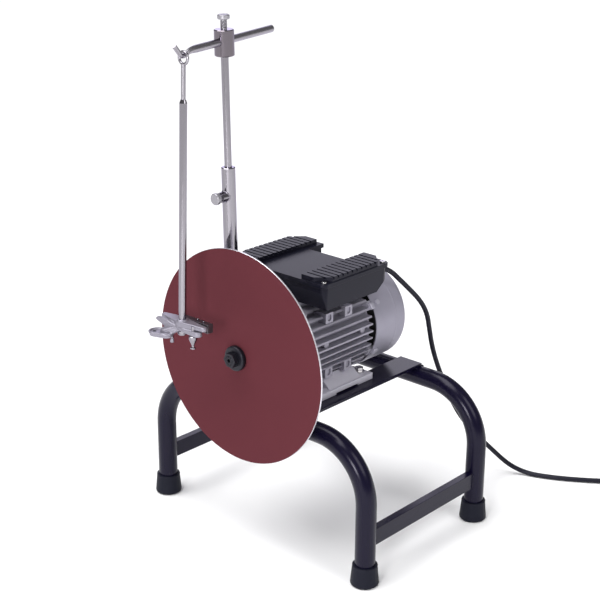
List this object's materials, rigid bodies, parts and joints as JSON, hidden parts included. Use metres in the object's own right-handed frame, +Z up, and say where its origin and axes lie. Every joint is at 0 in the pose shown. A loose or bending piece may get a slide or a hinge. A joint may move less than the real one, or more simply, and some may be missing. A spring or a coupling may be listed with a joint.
{
  "type": "pendulum disc grinder",
  "caption": "Motor-driven abrasive disc on a tube stand, with a chrome mast and a hanging pendulum holder that swings a shearing comb or cutter across the disc.",
  "frame": {"origin": "on the floor under the middle of the machine's own box, without its mains lead", "axes": "+Z up, the abrasive disc faces -Y, +X to the right seen from in front of the disc"},
  "size_m": [0.6321, 0.7298, 0.7325],
  "materials": {
    "gloss_black": "gloss black paint",
    "rubber_black": "matt rubber",
    "motor_silver": "satin silver-grey paint on cast aluminium",
    "zinc": "bright zinc plate",
    "bright_steel": "ground steel",
    "core_steel": "laminated steel",
    "copper": "varnished copper wire",
    "box_black": "matt black moulding",
    "fan_plastic": "moulded plastic",
    "capacitor_white": "smooth plastic can",
    "disc_alloy": "turned aluminium",
    "hub_alloy": "turned aluminium",
    "abrasive": "dark maroon abrasive sheet",
    "blackened": "black oxide steel",
    "chrome_plate": "polished chrome plate",
    "cast_alloy": "cast aluminium",
    "dark_steel": "dark tool steel",
    "cord_black": "smooth black sheath",
    "plug_black": "moulded plug",
    "pin_nickel": "nickel-plated pins"
  },
  "bodies": {
    "stand": {"front_arch": "gloss_black", "rear_arch": "gloss_black", "rubber_feet": "rubber_black", "left_rail": "gloss_black", "right_rail": "gloss_black", "left_side_bar": "gloss_black", "right_side_bar": "gloss_black", "motor_housing": "motor_silver", "front_end_shield": "motor_silver", "rear_end_shield": "motor_silver", "shield_bolts": "zinc", "left_motor_foot": "motor_silver", "right_motor_foot": "motor_silver", "motor_bolts": "zinc", "motor_washers": "zinc", "motor_nuts": "zinc", "front_bearing": "bright_steel", "rear_bearing": "bright_steel", "stator_core": "core_steel", "front_winding": "copper", "rear_winding": "copper", "fan_cover": "motor_silver", "fan_cover_screws": "zinc", "terminal_box_base": "box_black", "terminal_box_lid": "box_black", "lid_screws": "zinc", "capacitors": "capacitor_white", "mast_tube": "chrome_plate", "mast_clamp_boss": "chrome_plate", "cable_gland": "rubber_black", "power_cord": "cord_black", "cord_coil": "cord_black", "cord_tie": "rubber_black", "mains_plug": "plug_black", "plug_pins": "pin_nickel"},
    "spindle": {"motor_shaft": "bright_steel", "shaft_key": "zinc", "rotor_core": "core_steel", "cooling_fan": "fan_plastic", "disc_hub": "hub_alloy", "grinding_disc": "disc_alloy", "abrasive_sheet": "abrasive", "clamp_washer": "blackened", "disc_stud": "blackened", "disc_nut": "blackened"},
    "mast_screw": {"mast_screw": "chrome_plate"},
    "upper_mast": {"mast_rod": "chrome_plate"},
    "head": {"cross_block": "chrome_plate"},
    "arm": {"cross_arm": "chrome_plate"},
    "arm_screw": {"arm_screw": "chrome_plate"},
    "eye": {"pendulum_eye": "chrome_plate"},
    "holder": {"pendulum_tube": "chrome_plate", "upper_jaw": "cast_alloy", "lower_jaw": "cast_alloy", "holder_bar": "dark_steel", "comb_pins": "chrome_plate", "holder_nut": "chrome_plate", "stop_screw": "chrome_plate"},
    "jaw_screw": {"jaw_screw": "chrome_plate"}
  },
  "joints": [
    {"name": "spindle_spin", "type": "hinge", "parent": "stand", "child": "spindle", "pos_m": [0, -0.05, 0.2855], "axis": [0, 1, 0], "continuous": true},
    {"name": "mast_slide", "type": "slide", "parent": "stand", "child": "upper_mast", "axis": [0, -0.0262, 0.9997], "range_m": [-0.02, 0.04]},
    {"name": "mast_screw_turn", "type": "hinge", "parent": "stand", "child": "mast_screw", "pos_m": [-0.0475, -0.06983, 0.4944], "axis": [0, -0.9997, -0.0262], "range_deg": [-720, 0]},
    {"name": "head_swivel", "type": "hinge", "parent": "upper_mast", "child": "head", "pos_m": [-0.0475, -0.07517, 0.69843], "axis": [0, -0.0262, 0.9997], "range_deg": [-8, 8]},
    {"name": "arm_slide", "type": "slide", "parent": "head", "child": "arm", "axis": [0.1633, -0.9862, -0.0258], "range_m": [-0.01, 0.02]},
    {"name": "arm_screw_turn", "type": "hinge", "parent": "head", "child": "arm_screw", "pos_m": [-0.0475, -0.07517, 0.69843], "axis": [0, -0.0262, 0.9997], "range_deg": [0, 720]},
    {"name": "pendulum_swing", "type": "hinge", "parent": "arm", "child": "eye", "pos_m": [-0.03362, -0.15887, 0.69143], "axis": [0, 1, 0], "range_deg": [-12, 12]},
    {"name": "holder_turn", "type": "hinge", "parent": "eye", "child": "holder", "pos_m": [-0.03362, -0.15887, 0.69143], "axis": [0, 0.0366, 0.9993], "range_deg": [-25, 25]},
    {"name": "jaw_screw_turn", "type": "hinge", "parent": "holder", "child": "jaw_screw", "pos_m": [-0.00862, -0.17627, 0.33983], "axis": [0, 0.0366, 0.9993], "range_deg": [-720, 0]}
  ]
}
